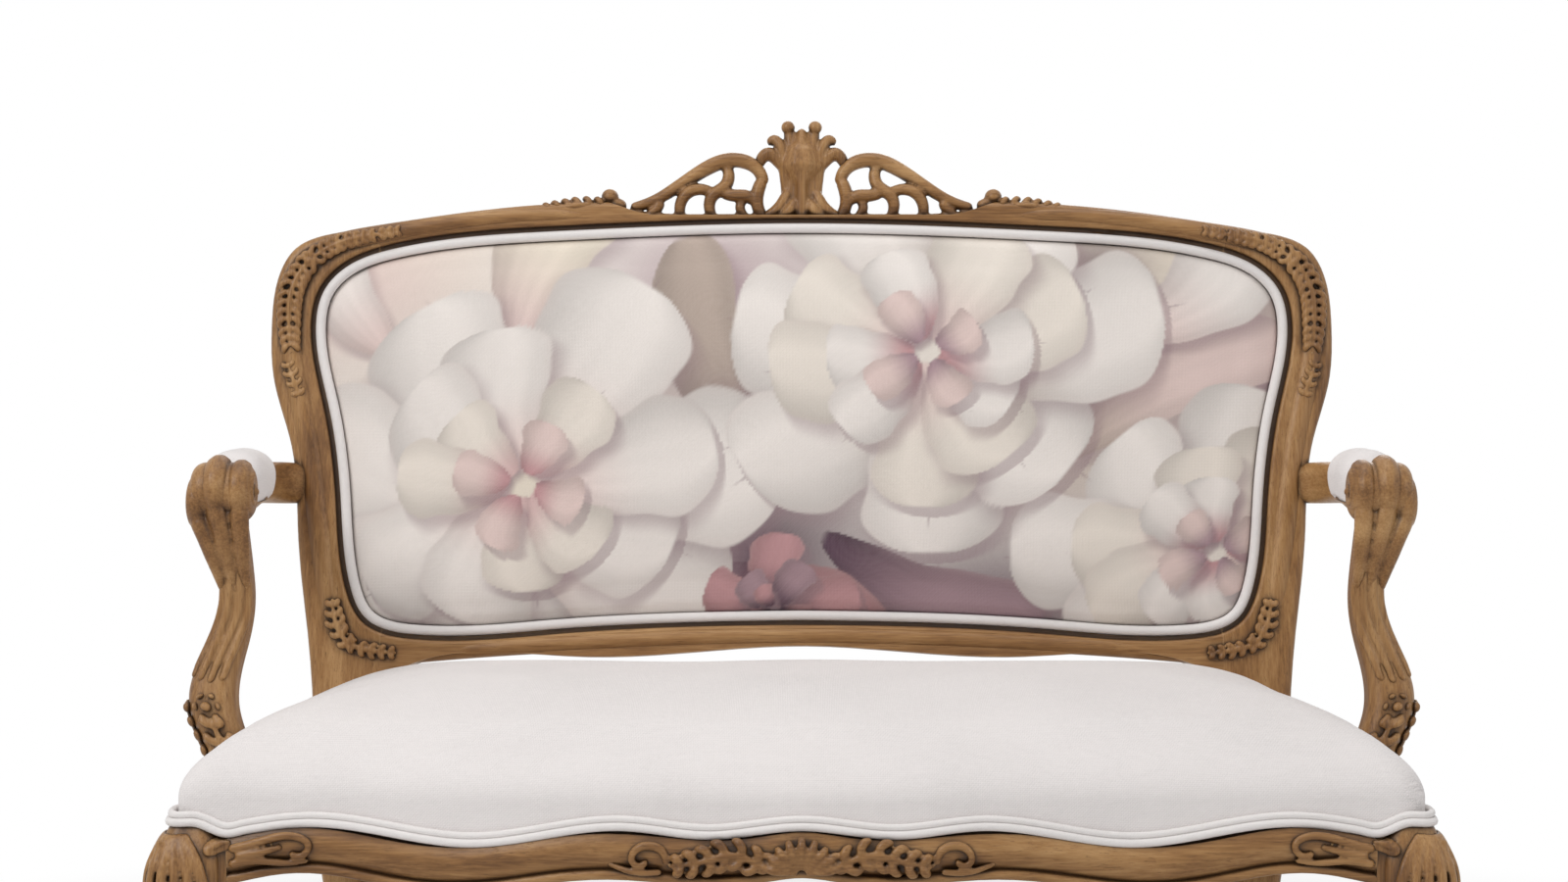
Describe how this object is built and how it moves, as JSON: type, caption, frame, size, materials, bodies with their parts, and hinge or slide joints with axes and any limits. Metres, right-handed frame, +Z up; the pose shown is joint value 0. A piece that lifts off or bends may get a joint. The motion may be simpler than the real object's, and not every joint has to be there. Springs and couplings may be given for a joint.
{
  "type": "settee",
  "caption": "Carved show-wood settee with cabriole legs, serpentine rails, open padded arms, a domed sprung seat and an upholstered back under a pierced crest.",
  "frame": {"origin": "floor level under the middle of the overall footprint", "axes": "+Z up, -Y the front that a sitter faces, +X to the viewer's right"},
  "size_m": [1.2328, 0.66, 1.0739],
  "materials": {
    "show_wood": "waxed, with dark glaze in the carving",
    "frame_wood": "bare sawn",
    "white_cloth": "plain weave",
    "printed_cloth": "printed plain weave",
    "lining_cloth": "plain weave",
    "filling": "stuffing",
    "jute": "coarse weave",
    "dust_cloth": "thin non-woven",
    "spring_steel": "coppered wire",
    "screw_steel": "zinc plated",
    "glide_steel": "nickel plated"
  },
  "bodies": {
    "root": {"arm_dowels": "frame_wood", "arm_left": "show_wood", "arm_pad_left": "white_cloth", "arm_pad_right": "white_cloth", "arm_post_left": "show_wood", "arm_post_right": "show_wood", "arm_post_screws": "screw_steel", "arm_right": "show_wood", "back_bottom_rail": "show_wood", "back_cover": "printed_cloth", "back_filling": "filling", "back_outer_cover": "lining_cloth", "back_top_rail": "show_wood", "back_webbing": "jute", "back_welt": "white_cloth", "corner_block_front_left": "frame_wood", "corner_block_front_right": "frame_wood", "corner_block_rear_left": "frame_wood", "corner_block_rear_right": "frame_wood", "corner_screws": "screw_steel", "crest_cartouche": "show_wood", "crest_dowels": "frame_wood", "crest_wing_left": "show_wood", "crest_wing_right": "show_wood", "dust_cover": "dust_cloth", "front_leg_left": "show_wood", "front_leg_right": "show_wood", "front_rail": "show_wood", "leg_glides": "glide_steel", "rear_post_left": "show_wood", "rear_post_right": "show_wood", "rear_rail": "frame_wood", "seat_cover": "white_cloth", "seat_filling": "filling", "seat_springs": "spring_steel", "seat_welt": "white_cloth", "side_rail_left": "show_wood", "side_rail_right": "show_wood", "spring_hessian": "jute", "webbing_cross": "jute", "webbing_long": "jute"}
  },
  "joints": []
}
